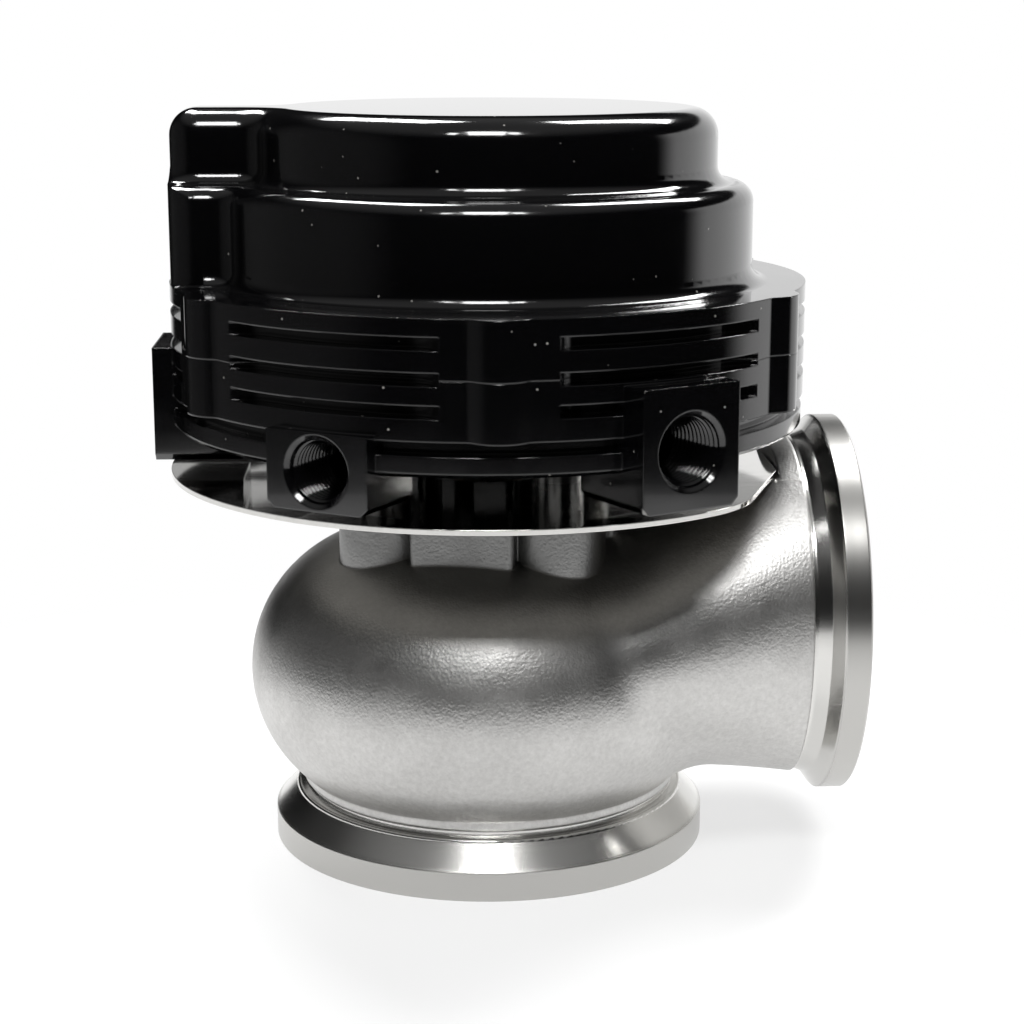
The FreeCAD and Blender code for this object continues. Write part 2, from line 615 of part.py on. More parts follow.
def cap_blank():
    """Stepped dome on a wide flange, with every casting curve in place."""
    upper = dome_tier(DOME_R, POD_HALF, POD_FACE, POD_CORNER, POD_VALLEY, SEAM_Z + 1, DOME_TOP)
    lower = dome_tier(DOME_R + STEP, POD_HALF + STEP, POD_FACE + STEP, POD_CORNER + STEP, POD_VALLEY,
                      SEAM_Z + 1, SHOULDER_Z)
    flange = cylinder(RING_R + 14, SEAM_Z, LEDGE_Z)
    blank = fuse_all([flange, lower, upper])
    blank = blank.makeFillet(DOME_ROUND, level_edges(blank, DOME_TOP))
    root = [e for e in level_edges(blank, SHOULDER_Z) if touches(upper, middle(e))]
    blank = blank.makeFillet(SHOULDER_HOLLOW, root)
    crown = [e for e in level_edges(blank, SHOULDER_Z) if touches(lower, middle(e))]
    blank = blank.makeFillet(SHOULDER_ROUND, crown)
    foot = [e for e in level_edges(blank, LEDGE_Z) if touches(lower, middle(e))]
    return blank.makeFillet(FLARE, foot)


def pod_end_cut():
    """Removes the lower tier's pod past the port face, and rounds its two corners."""
    half = POD_HALF + STEP
    depth = 3 * STEP
    keep = Part.makeBox(depth, 2 * half, 40, V(-POD_FACE, -half, LEDGE_Z - 5))
    keep = keep.makeFillet(POD_CORNER + 1.0, [e for e in upright_edges(keep) if middle(e).x < -POD_FACE + 0.01])
    zone = Part.makeBox(20, 2 * half + 2, SHOULDER_Z + SHOULDER_HOLLOW - LEDGE_Z,
                        V(-POD_FACE + POD_CORNER + 1.0 - 20, -half - 1, LEDGE_Z))
    return zone.cut(keep)


def cap_hollow():
    inner = DOME_R - CAP_WALL
    lower = inner + STEP
    step_z = SHOULDER_Z - CAP_WALL
    ceiling = cap_ceiling()
    return spun((0, SEAM_Z - 1), (lower, SEAM_Z - 1), (lower, step_z - STEP * 0.8), (inner, step_z),
                (inner, ceiling), (0, ceiling))


def pod_port():
    """Tapped port in the pod's face with its drilling into the dome."""
    cone = Part.makeCone(AIR_THREAD_R + 0.5, AIR_THREAD_R, 0.5, V(-POD_FACE, 0, POD_PORT_Z), X_AXIS)
    hole = Part.makeCylinder(AIR_THREAD_R, POD_PORT_DEPTH, V(-POD_FACE, 0, POD_PORT_Z), X_AXIS)
    drill = Part.makeCylinder(DRILL_R, POD_FACE, V(-POD_FACE, 0, POD_PORT_Z), X_AXIS)
    return fuse_all([cone, hole, drill])


def actuator_cap():
    cap = cap_blank().common(pillared_ring(SEAM_Z, DOME_TOP + 1))
    cap = cap.cut(pod_end_cut())
    cap = cap.cut(cap_hollow()).cut(grooves()).cut(pod_port())
    taps = [cylinder(CAP_SCREW_R + PRESS, SEAM_Z - 1, CAP_HEAD_Z + CAP_SCREW_REACH + 1, p.x, p.y)
            for p in (at(a, CAP_SCREW_RC) for a in ring_of(PILLARS))]
    return cap.cut(Part.makeCompound(taps))


def cap_screws():
    screw = socket_screw(CAP_SCREW_R, CAP_HEAD_R, CAP_HEAD_H, CAP_SCREW_REACH, 3.0)
    screw.rotate(V(), X_AXIS, 180)
    return Part.makeCompound([screw.translated(at(a, CAP_SCREW_RC, CAP_HEAD_Z)) for a in ring_of(PILLARS)])


# ---------------------------------------------------------------- output
FIXED = {
    "valve_housing": valve_housing, "inlet_flange": inlet_flange, "outlet_flange": outlet_flange,
    "valve_seat": valve_seat, "poppet_valve": poppet_valve,
    "stem_guide": stem_guide, "heat_shield": heat_shield, "standoffs": standoffs, "base_screws": base_screws,
}
CLOCKED = {
    "lower_housing": lower_housing, "stem_bushing": stem_bushing, "stem_seal": stem_seal,
    "retaining_ring": retaining_ring, "lower_diaphragm_plate": lower_diaphragm_plate, "diaphragm": diaphragm,
    "spring_cup": spring_cup, "stem_washer": stem_washer, "stem_nut": stem_nut, "outer_spring": outer_spring,
    "inner_spring": inner_spring, "spring_shim": spring_shim, "actuator_cap": actuator_cap,
    "cap_screws": cap_screws,
}


def main():
    os.makedirs("parts", exist_ok=True)
    nodes = {name: make() for name, make in FIXED.items()}
    nodes.update({name: turned(make(), CLOCKING) for name, make in CLOCKED.items()})
    for name, shape in nodes.items():
        shape.exportStep("parts/" + name + ".step")
        print(f"{name:24s} solids {len(shape.Solids)}  volume {shape.Volume:10.1f}  valid {shape.isValid()}")


main()
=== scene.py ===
# %% [markdown]
# # A turbo wastegate in the studio
# A wastegate is the valve that lets exhaust gas pass a turbocharger by. Its lower half is a steel casting
# with two turned clamp flanges. Its upper half is a machined, black anodised actuator with a rubber
# diaphragm and two springs. The solids were drawn elsewhere and arrive here at their real size, in metres.
# This file gives each one the finish that its real counterpart has, adds the screw threads, and sets up the
# light and the camera.

# %% Load the solids and keep their box
import json
import math

import bpy
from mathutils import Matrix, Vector


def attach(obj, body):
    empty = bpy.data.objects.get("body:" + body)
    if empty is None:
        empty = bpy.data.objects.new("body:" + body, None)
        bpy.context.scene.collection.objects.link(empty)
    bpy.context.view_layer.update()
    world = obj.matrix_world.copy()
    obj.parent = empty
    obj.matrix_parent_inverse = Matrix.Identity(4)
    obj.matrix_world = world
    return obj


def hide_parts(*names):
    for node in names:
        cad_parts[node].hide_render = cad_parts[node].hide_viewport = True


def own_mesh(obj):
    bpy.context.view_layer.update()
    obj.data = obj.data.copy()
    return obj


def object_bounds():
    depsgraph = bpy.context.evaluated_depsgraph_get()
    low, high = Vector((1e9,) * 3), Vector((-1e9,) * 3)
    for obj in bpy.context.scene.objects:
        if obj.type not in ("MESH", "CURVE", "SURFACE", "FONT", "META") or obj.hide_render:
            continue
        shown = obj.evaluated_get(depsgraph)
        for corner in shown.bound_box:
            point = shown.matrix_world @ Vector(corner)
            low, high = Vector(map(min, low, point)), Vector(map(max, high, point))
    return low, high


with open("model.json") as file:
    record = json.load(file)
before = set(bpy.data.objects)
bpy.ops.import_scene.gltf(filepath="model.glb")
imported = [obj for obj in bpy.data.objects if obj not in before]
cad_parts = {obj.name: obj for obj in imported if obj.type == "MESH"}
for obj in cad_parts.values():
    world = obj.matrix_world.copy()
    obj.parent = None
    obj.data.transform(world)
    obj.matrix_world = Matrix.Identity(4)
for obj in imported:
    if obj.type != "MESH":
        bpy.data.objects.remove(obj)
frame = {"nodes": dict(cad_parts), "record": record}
solid_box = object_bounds()
MM = 0.001

# %% [markdown]
# Colours are easiest to name as the hex values of a paint chart, but Blender's shaders work in linear
# light. One function turns the first into the second. A second small function adds a shader node: it sets
# the node's properties, then fills each input either with a value or with a link from another node's
# output. Two more start a material and hand it to the solids.

# %% Helpers for materials
def linear(hex_colour):
    """Linear RGBA from an sRGB hex colour such as "#c8c4bc"."""
    channels = [int(hex_colour[i:i + 2], 16) / 255 for i in (1, 3, 5)]
    return [c / 12.92 if c <= 0.04045 else ((c + 0.055) / 1.055) ** 2.4 for c in channels] + [1.0]


def add(tree, kind, settings=None, inputs=None):
    """A new shader node with its settings, and its inputs filled with values or links."""
    made = tree.nodes.new("ShaderNode" + kind)
    for name, value in (settings or {}).items():
        setattr(made, name, value)
    for name, value in (inputs or {}).items():
        if isinstance(value, bpy.types.NodeSocket):
            tree.links.new(value, made.inputs[name])
        else:
            made.inputs[name].default_value = value
    return made


def new_material(name, shader_inputs):
    """A material with one Principled shader, and its node tree."""
    material = bpy.data.materials.new(name)
    material.use_nodes = True
    tree = material.node_tree
    tree.nodes.clear()
    shader = add(tree, "BsdfPrincipled", inputs=shader_inputs)
    add(tree, "OutputMaterial", inputs={"Surface": shader.outputs["BSDF"]})
    return material, tree, shader


def dress(material, *names):
    """Gives CAD solids a material in place of the one they came with."""
    for name in names:
        slots = frame["nodes"][name].data.materials
        slots.clear()
        slots.append(material)
    print(material.name, "->", ", ".join(names))


SMOOTH = {"interpolation_type": "SMOOTHSTEP"}       # a Map Range that eases in and out
BEVEL_RAYS = {"samples": 6}                         # rays that the Bevel node sends out to find an edge
print("white is", [round(c, 2) for c in linear("#ffffff")])

# %% [markdown]
# Tool marks and cloth are even lines, and the Wave texture draws them. At scale 1 it runs through 20
# radians in each unit of length, so the scale that puts its crests a given distance apart has to be worked
# out.

# %% Waves at a real spacing
WAVE_RADIANS = 20


def wave_scale(spacing):
    """The Wave texture's scale for crests this far apart, in metres."""
    return math.tau / (WAVE_RADIANS * spacing)


print("crests 1 mm apart need scale", round(wave_scale(1 * MM), 1))

# %% [markdown]
# ## Black anodised aluminium
# The actuator is milled and turned from bar, polished, and then anodised: an acid bath grows a hard clear
# oxide film that holds black dye. The eye sees a deep black with sharp, glassy reflections of the lamps,
# and on the flat ledge the rings of the lathe tool, which break those reflections into thin lines. A
# dielectric shader with almost no diffuse colour does this better than a metallic one, because the film and
# not the metal makes the reflection. The edges of the real parts are broken by a fraction of a millimetre.
# The Bevel node rounds the shading there, so that groove lips and the seam catch the light as a thin bright
# line. The very top is lapped flat, so a mask made from the height takes the tool marks away there. A few
# pale specks are dust.

# %% Anodised aluminium, dyed black
RING_SPACING = math.tau * 0.45 * MM         # 2.8 mm; the real feed is about 0.1 mm, too fine to show
RING_DEPTH = 0.004 * MM
EDGE_BREAK = 0.40 * MM
LAPPED_FROM = solid_box[1][2] - 0.2 * MM
HANDLED_PATCH = 14 * MM                     # size of the patches that hands left duller or glossier
DUST_CELL = 2.4 * MM                        # one speck at most in a cell this wide
DYE, DUST = linear("#050506"), linear("#8c8a86")

anodised, tree, shader = new_material("anodised_aluminium_black", {
    "Base Color": DYE, "Metallic": 0.0, "Roughness": 0.13, "IOR": 1.62,
    "Coat Weight": 0.35, "Coat Roughness": 0.03, "Coat IOR": 1.5})
place = add(tree, "TexCoord").outputs["Object"]
rings = add(tree, "TexWave", {"wave_type": "RINGS", "rings_direction": "Z", "wave_profile": "SIN"},
            {"Vector": place, "Scale": wave_scale(RING_SPACING), "Distortion": 0.35, "Detail": 2.0,
             "Detail Scale": 0.3})
turned = add(tree, "TexWave", {"wave_type": "BANDS", "bands_direction": "Z", "wave_profile": "SIN"},
             {"Vector": place, "Scale": wave_scale(RING_SPACING), "Distortion": 0.2, "Detail": 1.0})
both = add(tree, "Math", {"operation": "ADD"}, {0: rings.outputs["Fac"], 1: turned.outputs["Fac"]})
broken = add(tree, "Bevel", BEVEL_RAYS, {"Radius": EDGE_BREAK})
height = add(tree, "SeparateXYZ", inputs={"Vector": place}).outputs["Z"]
lapped = add(tree, "Math", {"operation": "GREATER_THAN"}, {0: height, 1: LAPPED_FROM}).outputs[0]
marks = add(tree, "MapRange", inputs={"Value": lapped, "To Min": 0.10, "To Max": 0.0})
relief = add(tree, "Bump", inputs={"Height": both.outputs[0], "Strength": marks.outputs["Result"],
                                   "Distance": RING_DEPTH, "Normal": broken.outputs["Normal"]})
tree.links.new(relief.outputs["Normal"], shader.inputs["Normal"])
handled = add(tree, "TexNoise", inputs={"Vector": place, "Scale": 1 / HANDLED_PATCH, "Detail": 5.0,
                                        "Roughness": 0.6})
gloss = add(tree, "MapRange", inputs={"Value": handled.outputs["Fac"], "From Min": 0.3, "From Max": 0.75,
                                      "To Min": 0.07, "To Max": 0.15})
gloss = add(tree, "Mix", {"data_type": "FLOAT"}, {0: lapped, 2: gloss.outputs["Result"], 3: 0.02})
tree.links.new(gloss.outputs[0], shader.inputs["Roughness"])
dust_cells = add(tree, "TexVoronoi", {"feature": "F1"},
                 {"Vector": place, "Scale": 1 / DUST_CELL, "Randomness": 1.0})
speck = add(tree, "MapRange", inputs={"Value": dust_cells.outputs["Distance"], "From Min": 0.05,
                                      "From Max": 0.09, "To Min": 1.0, "To Max": 0.0})
chosen = add(tree, "Math", {"operation": "GREATER_THAN"}, {0: dust_cells.outputs["Color"], 1: 0.58})
dust = add(tree, "Math", {"operation": "MULTIPLY"}, {0: speck.outputs["Result"], 1: chosen.outputs[0]})
colour = add(tree, "Mix", {"data_type": "RGBA"}, {"Factor": dust.outputs[0], "A": DYE, "B": DUST})
tree.links.new(colour.outputs["Result"], shader.inputs["Base Color"])
dress(anodised, "actuator_cap", "lower_housing")

# %% [markdown]
# ## Blasted casting
# The valve housing is an investment casting in stainless steel, blasted with fine beads. The blasting
# leaves a dense, soft grain. The metal still mirrors the room, but only as a blur: the white table lights
# its lower half, and the dark room darkens its upper half. Three sizes of relief make the skin: dimples,
# grit between them, and the slow unevenness that the wax pattern left. Close under the heat shield the
# base colour is painted darker: painted shade, where the shield shades the casting.

# %% Bead-blasted steel
BEAD = 0.42 * MM                            # width of one dimple
GRIT = 0.8 * MM
WAX_SWELL = 7 * MM
CAST_EDGE_BREAK = 0.6 * MM
SHIELD_SHADE_Z = 39 * MM, 50 * MM                # painted shade darkens the colour from the first height to the second
SHIELD_SHADE_X = 32 * MM, 12 * MM                # and from the outlet tube inwards

cast_steel, tree, shader = new_material("stainless_steel_bead_blasted", {
    "Base Color": linear("#cbcac8"), "Metallic": 1.0, "Roughness": 0.4})
place = add(tree, "TexCoord").outputs["Object"]
dimples = add(tree, "TexVoronoi", {"feature": "SMOOTH_F1"},
              {"Vector": place, "Scale": 1 / BEAD, "Smoothness": 0.8, "Randomness": 1.0})
grit = add(tree, "TexNoise", inputs={"Vector": place, "Scale": 1 / GRIT, "Detail": 4.0, "Roughness": 0.7})
skin = add(tree, "TexNoise", inputs={"Vector": place, "Scale": 1 / WAX_SWELL, "Detail": 3.0,
                                     "Roughness": 0.5})
grain = add(tree, "Math", {"operation": "MULTIPLY_ADD"}, {0: grit.outputs["Fac"], 1: 1.2,
                                                          2: dimples.outputs["Distance"]})
grain = add(tree, "Math", {"operation": "MULTIPLY_ADD"}, {0: skin.outputs["Fac"], 1: 1.5,
                                                          2: grain.outputs[0]})
broken = add(tree, "Bevel", BEVEL_RAYS, {"Radius": CAST_EDGE_BREAK})
relief = add(tree, "Bump", inputs={"Height": grain.outputs[0], "Strength": 0.55, "Distance": 0.05 * MM,
                                   "Normal": broken.outputs["Normal"]})
tree.links.new(relief.outputs["Normal"], shader.inputs["Normal"])
gloss = add(tree, "MapRange", inputs={"Value": skin.outputs["Fac"], "From Min": 0.3, "From Max": 0.7,
                                      "To Min": 0.36, "To Max": 0.46})
tree.links.new(gloss.outputs["Result"], shader.inputs["Roughness"])
mottle = add(tree, "Mix", {"data_type": "RGBA"}, {"Factor": grit.outputs["Fac"], "A": linear("#b6b5b3"),
                                                  "B": linear("#e2e1df")})
# Painted shade: the colour turns to a darker grey towards the heat shield above and inwards from the outlet
# tube, where the shield shades the casting.
spot = add(tree, "SeparateXYZ", inputs={"Vector": place}).outputs
upward = add(tree, "MapRange", SMOOTH,
             {"Value": spot["Z"], "From Min": SHIELD_SHADE_Z[0], "From Max": SHIELD_SHADE_Z[1]})
inward = add(tree, "MapRange", SMOOTH,
             {"Value": spot["X"], "From Min": SHIELD_SHADE_X[0], "From Max": SHIELD_SHADE_X[1]})
painted_shield_shade = add(tree, "Math", {"operation": "MULTIPLY"}, {0: upward.outputs["Result"],
                                                          1: inward.outputs["Result"]})
metal = add(tree, "Mix", {"data_type": "RGBA"}, {"Factor": painted_shield_shade.outputs[0],
                                                 "A": mottle.outputs["Result"], "B": linear("#949493")})
tree.links.new(metal.outputs["Result"], shader.inputs["Base Color"])
dress(cast_steel, "valve_housing")

# %% [markdown]
# ## Turned flanges
# Each flange ring is turned on a lathe. Here the ring is a solid of its own, as if it were welded on; many
# real housings have it machined from the same casting, and the finish is the same either way. The bevel
# that the clamp pulls on is polished and mirrors the lamps. The straight rim is left as the tool cut it,
# with rings about the flange's own axis. One recipe makes both: it takes the axis, and the place along that
# axis where the bevel meets the rim.

# %% One turned flange
CUT_SPACING = math.tau * 0.5 * MM           # 3.1 mm; real cuts are far finer and wouldn't show
CUT_DEPTH = 0.01 * MM
RIM_EDGE_BREAK = 0.25 * MM


def turned_flange(name, axis, bevel_at, rim_at):
    """Turned steel: polished at bevel_at, cut in rings at rim_at, both in metres along the axis."""
    material, tree, shader = new_material(name, {"Base Color": linear("#d6d5d2"), "Metallic": 1.0,
                                                 "Roughness": 0.2})
    place = add(tree, "TexCoord").outputs["Object"]
    along = add(tree, "SeparateXYZ", inputs={"Vector": place}).outputs[axis]
    rim = add(tree, "MapRange", inputs={"Value": along, "From Min": bevel_at, "From Max": rim_at})
    cuts = add(tree, "TexWave", {"wave_type": "BANDS", "bands_direction": axis},
               {"Vector": place, "Scale": wave_scale(CUT_SPACING), "Distortion": 0.6, "Detail": 3.0})
    broken = add(tree, "Bevel", BEVEL_RAYS, {"Radius": RIM_EDGE_BREAK})
    depth = add(tree, "MapRange", inputs={"Value": rim.outputs["Result"], "To Min": 0.08, "To Max": 0.4})
    relief = add(tree, "Bump", inputs={"Height": cuts.outputs["Fac"], "Strength": depth.outputs["Result"],
                                       "Distance": CUT_DEPTH, "Normal": broken.outputs["Normal"]})
    tree.links.new(relief.outputs["Normal"], shader.inputs["Normal"])
    gloss = add(tree, "MapRange", inputs={"Value": rim.outputs["Result"], "To Min": 0.20, "To Max": 0.3})
    tree.links.new(gloss.outputs["Result"], shader.inputs["Roughness"])
    metal = add(tree, "Mix", {"data_type": "RGBA"}, {"Factor": rim.outputs["Result"], "A": linear("#dcdbd8"),
                                                     "B": linear("#c0bfbc")})
    tree.links.new(metal.outputs["Result"], shader.inputs["Base Color"])
    return material


dress(turned_flange("stainless_steel_turned_inlet", "Z", bevel_at=5.0 * MM, rim_at=4.4 * MM),
      "inlet_flange")
dress(turned_flange("stainless_steel_turned_outlet", "X", bevel_at=51.6 * MM, rim_at=52.1 * MM),
      "outlet_flange")

# %% [markdown]
# ## Bright sheet
# The heat shield is a disc of polished stainless sheet, almost a mirror, with the faint scratches of
# handling. Its underside gets a darker base colour: painted shade on the faces that point down. The
# scratches are a noise that is squeezed to long thin streaks, and the way a face points, up or down,
# picks the bright colour or the painted shade.

# %% Polished sheet
STREAK = 9 * MM                             # length of a scratch
STREAK_SQUEEZE = 14.0                       # how many times longer than wide it is
STREAK_TURN = 0.6                           # radians
SHEET_EDGE_BREAK = 0.2 * MM
# The second colour is painted shade for the sheet's underside.
BRIGHT, UNDERSIDE_SHADE = linear("#dad9d6"), linear("#807e7a")

sheet, tree, shader = new_material("stainless_sheet_polished", {
    "Base Color": BRIGHT, "Metallic": 1.0, "Roughness": 0.08})
place = add(tree, "TexCoord").outputs["Object"]
wipe = add(tree, "Mapping", inputs={"Vector": place, "Scale": (1.0, STREAK_SQUEEZE, 1.0),
                                    "Rotation": (0, 0, STREAK_TURN)})
scratches = add(tree, "TexNoise", inputs={"Vector": wipe.outputs["Vector"], "Scale": 1 / STREAK,
                                          "Detail": 6.0, "Roughness": 0.7})
worn = add(tree, "MapRange", inputs={"Value": scratches.outputs["Fac"], "From Min": 0.35, "From Max": 0.75,
                                     "To Min": 0.05, "To Max": 0.14})
tree.links.new(worn.outputs["Result"], shader.inputs["Roughness"])
broken = add(tree, "Bevel", BEVEL_RAYS, {"Radius": SHEET_EDGE_BREAK})
tree.links.new(broken.outputs["Normal"], shader.inputs["Normal"])
# Painted shade: faces that point down get the darker colour.
facing = add(tree, "SeparateXYZ", inputs={"Vector": add(tree, "NewGeometry").outputs["Normal"]}).outputs
underside = add(tree, "Math", {"operation": "LESS_THAN"}, {0: facing["Z"], 1: -0.5})
metal = add(tree, "Mix", {"data_type": "RGBA"}, {"Factor": underside.outputs[0], "A": BRIGHT, "B": UNDERSIDE_SHADE})
tree.links.new(metal.outputs["Result"], shader.inputs["Base Color"])
dress(sheet, "heat_shield")

# %% [markdown]
# ## Small turned parts
# The seat, the valve, the guide, the screws and the stack on the stem are small machined parts. They differ
# in colour and in how fine the cut is, so one recipe with four values makes them all: a metal with a relief
# of even bands along the stem's axis, and a roughness that drifts slowly over the surface. The bands are 2
# to 5 mm apart, coarser than real tool marks, which wouldn't show.


# %% Small machined metals
def machined(name, colour, roughness, spacing):
    """A turned metal, with tool marks at this spacing along the stem's axis."""
    material, tree, shader = new_material(name, {"Base Color": linear(colour), "Metallic": 1.0,
                                                 "Roughness": roughness})
    place = add(tree, "TexCoord").outputs["Object"]
    along = add(tree, "TexWave", {"wave_type": "BANDS", "bands_direction": "Z"},
                {"Vector": place, "Scale": wave_scale(spacing), "Distortion": 0.5, "Detail": 2.0})
    drift = add(tree, "TexNoise", inputs={"Vector": place, "Scale": 1 / (4 * MM), "Detail": 3.0})
    gloss = add(tree, "MapRange", inputs={"Value": drift.outputs["Fac"], "To Min": roughness * 0.75,
                                          "To Max": roughness * 1.3})
    relief = add(tree, "Bump", inputs={"Height": along.outputs["Fac"], "Strength": 0.3,
                                       "Distance": CUT_DEPTH})
    tree.links.new(gloss.outputs["Result"], shader.inputs["Roughness"])
    tree.links.new(relief.outputs["Normal"], shader.inputs["Normal"])
    return material


dress(machined("valve_steel_turned", "#b3aea6", 0.28, math.tau * 0.4 * MM), "poppet_valve", "valve_seat")
dress(machined("bronze_machined", "#b98a52", 0.30, math.tau * 0.4 * MM), "stem_guide", "stem_bushing")
dress(machined("steel_zinc_plated", "#c6c6c4", 0.26, math.tau * 0.5 * MM), "standoffs", "base_screws",
      "cap_screws", "stem_washer", "stem_nut", "spring_shim")
dress(machined("aluminium_machined", "#cbccce", 0.32, math.tau * 0.3 * MM), "lower_diaphragm_plate",
      "spring_cup")
dress(machined("spring_steel_oiled", "#4a4c52", 0.35, math.tau * 0.8 * MM), "outer_spring",
      "inner_spring", "retaining_ring")

# %% [markdown]
# ## Moulded rubber
# The diaphragm and the stem seal are rubber over cloth, whose weave prints through as a faint grid. Both
# lie inside the closed actuator, so two plain waves that cross, with no thread drawn singly, are enough.

# %% Cloth-reinforced rubber
WEAVE_SPACING = math.tau * 0.6 * MM         # 3.8 mm, coarser than real cloth, so that it would show
rubber, tree, shader = new_material("silicone_rubber_on_cloth", {
    "Base Color": linear("#1c1b1a"), "Metallic": 0.0, "Roughness": 0.6})
place = add(tree, "TexCoord").outputs["Object"]
warp = add(tree, "TexWave", {"wave_type": "BANDS", "bands_direction": "X"},
           {"Vector": place, "Scale": wave_scale(WEAVE_SPACING)})
weft = add(tree, "TexWave", {"wave_type": "BANDS", "bands_direction": "Y"},
           {"Vector": place, "Scale": wave_scale(WEAVE_SPACING)})
cloth = add(tree, "Math", {"operation": "MULTIPLY"}, {0: warp.outputs["Fac"], 1: weft.outputs["Fac"]})
relief = add(tree, "Bump", inputs={"Height": cloth.outputs[0], "Strength": 0.4, "Distance": 0.05 * MM})
tree.links.new(relief.outputs["Normal"], shader.inputs["Normal"])
dress(rubber, "diaphragm", "stem_seal")

# %% [markdown]
# ## Spring copies
# When the valve opens, it lifts by 10 mm and takes the springs' lower ends with it. A rigid solid would be
# cut through, so a copy of each spring's mesh, hung on the housing, stands in for it, and the solid is
# hidden. The copy keeps its full length.

for name in ("outer_spring", "inner_spring"):
    solid = frame["nodes"][name]
    spring = bpy.data.objects.new(name + "_coil", solid.data.copy())
    spring.matrix_world = solid.matrix_world
    bpy.context.scene.collection.objects.link(spring)
    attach(spring, "housing")
    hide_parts(name)
    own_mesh(spring)

# %% [markdown]
# ## Threads in the ports
# Each port is a plain bore in the solid, at the thread's full diameter. The thread itself is a thin sleeve
# that fills the bore's wall: going round the bore, the crest climbs by one pitch. Drawing it as a mesh, and
# not as a bump, lets the crests hide the roots behind them, which is what makes a thread read as a thread.
# The places, the directions and the radii come from the record that travels with the solids.

# %% One threaded sleeve
PIPE_PITCH = 0.94 * MM                      # 27 threads to the inch
THREAD_DEPTH = 0.55 * MM
CREST_FLAT = 1.15                           # over 1, so that the crests end in a narrow flat
SLEEVE_GAP_MM = 0.03                        # the sleeve lies this far inside the bore's wall
AROUND = 72                                 # faces round the bore
PER_PITCH = 10                              # faces along one pitch


def threaded_sleeve(name, centre, axis, radius, length):
    """Inner wall of a tapped hole. The thread fades out at both ends."""
    axis = axis.normalized()
    side = axis.orthogonal().normalized()
    up = axis.cross(side)
    rows = int(length / PIPE_PITCH * PER_PITCH)
    points, faces = [], []
    for row in range(rows + 1):
        along = length * row / rows
        fade = min(1.0, along / PIPE_PITCH, (length - along) / PIPE_PITCH)
        for step in range(AROUND):
            turn = step / AROUND
            phase = (along / PIPE_PITCH - turn) % 1.0
            crest = 1.0 - abs(2.0 * phase - 1.0)
            r = radius - THREAD_DEPTH * fade * min(1.0, CREST_FLAT * crest)
            angle = 2 * math.pi * turn
            spoke = side * math.cos(angle) + up * math.sin(angle)
            points.append(centre + axis * (along - length / 2) + spoke * r)
    for row in range(rows):
        for step in range(AROUND):
            a, b = row * AROUND + step, row * AROUND + (step + 1) % AROUND
            faces.append((a, a + AROUND, b + AROUND, b))
    mesh = bpy.data.meshes.new(name)
    mesh.from_pydata(points, [], faces)
    mesh.shade_smooth()
    piece = bpy.data.objects.new(name, mesh)
    bpy.context.scene.collection.objects.link(piece)
    return piece


for mount in frame["record"]["mounts"]:
    if mount["kind"] == "threaded_hole":
        size = mount["dims"]
        sleeve = threaded_sleeve(mount["name"] + "_thread", Vector(mount["pos_m"]), Vector(mount["axis"]),
                                 (size["r_mm"] - SLEEVE_GAP_MM) * MM, size["length_mm"] * MM)
        sleeve.data.materials.append(anodised)
        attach(sleeve, "housing")
        print("thread in", mount["name"])

# %% [markdown]
# ## Studio
# The part stands on a white table. Three soft panels hang in front of it and two behind. The room in front
# is dark, which is why black gloss looks black, and a white wall stands behind, higher on the right than on
# the left. The camera and the metal see the table at plain white, through the Light Path node, and the part
# of the table's own shading that is left keeps the shadow. The camera sees the room at plain white too, but
# the metal and the gloss see its dark and pale sides. One more lamp fills the table from above: it is
# hidden from reflections, as a scrim behind the camera would be.

# %% Table
TABLE_R = 0.34
TABLE_DROP = 0.05 * MM                      # a hair below the flange, so that the two faces don't flicker
SHADOW_SHARE = 0.30                         # how much of the table's own shading is seen beside the part
BLEACH_FROM, BLEACH_TO = 0.08, 0.16         # metres from the centre; beyond the second all is white
WHITE = (1, 1, 1, 1)

paper = bpy.data.materials.new("white_paper")
paper.use_nodes = True
tree = paper.node_tree
tree.nodes.clear()
place = add(tree, "TexCoord").outputs["Object"]
distance = add(tree, "VectorMath", {"operation": "LENGTH"}, {0: place})
outward = add(tree, "MapRange", SMOOTH,
              {"Value": distance.outputs["Value"], "From Min": BLEACH_FROM, "From Max": BLEACH_TO,
               "To Min": 1 - SHADOW_SHARE, "To Max": 1.0})
path = add(tree, "LightPath").outputs
seen = add(tree, "Math", {"operation": "MAXIMUM"}, {0: path["Is Camera Ray"], 1: path["Is Glossy Ray"]})
seen = add(tree, "Math", {"operation": "MAXIMUM"}, {0: seen.outputs[0], 1: path["Is Transmission Ray"]})
bleach = add(tree, "Math", {"operation": "MULTIPLY"}, {0: outward.outputs["Result"], 1: seen.outputs[0]})
card = add(tree, "BsdfDiffuse", inputs={"Color": linear("#fbfbfb"), "Roughness": 0.0})
bright = add(tree, "Emission", inputs={"Color": WHITE, "Strength": 1.0})
mixed = add(tree, "MixShader", inputs={"Fac": bleach.outputs[0], 1: card.outputs[0], 2: bright.outputs[0]})
add(tree, "OutputMaterial", inputs={"Surface": mixed.outputs[0]})
bpy.ops.mesh.primitive_circle_add(vertices=96, radius=TABLE_R, fill_type="NGON",
                                  location=(0, 0, -TABLE_DROP))
table = bpy.context.object
table.name = "table"
table.data.materials.append(paper)
print("table is", 2 * TABLE_R, "m across")

# %% [markdown]
# The room is a world shader that is brighter in some directions than in others. A direction's X, Y and Z
# run from -1 to 1, so X says how far right it points, Y how far back and Z how far up. Each wall is a soft
# mask made from those three numbers, and the brightest of them wins.

# %% Room
WALL_TOP = 0.09, 0.32                       # the wall behind ends at these heights, left and right
WALL_TURN = 0.05, 0.20                      # and climbs from one to the other between these X
LEFT_WALL = 0.008, 0.07                     # strength in front and at the far left
CEILING = 0.22

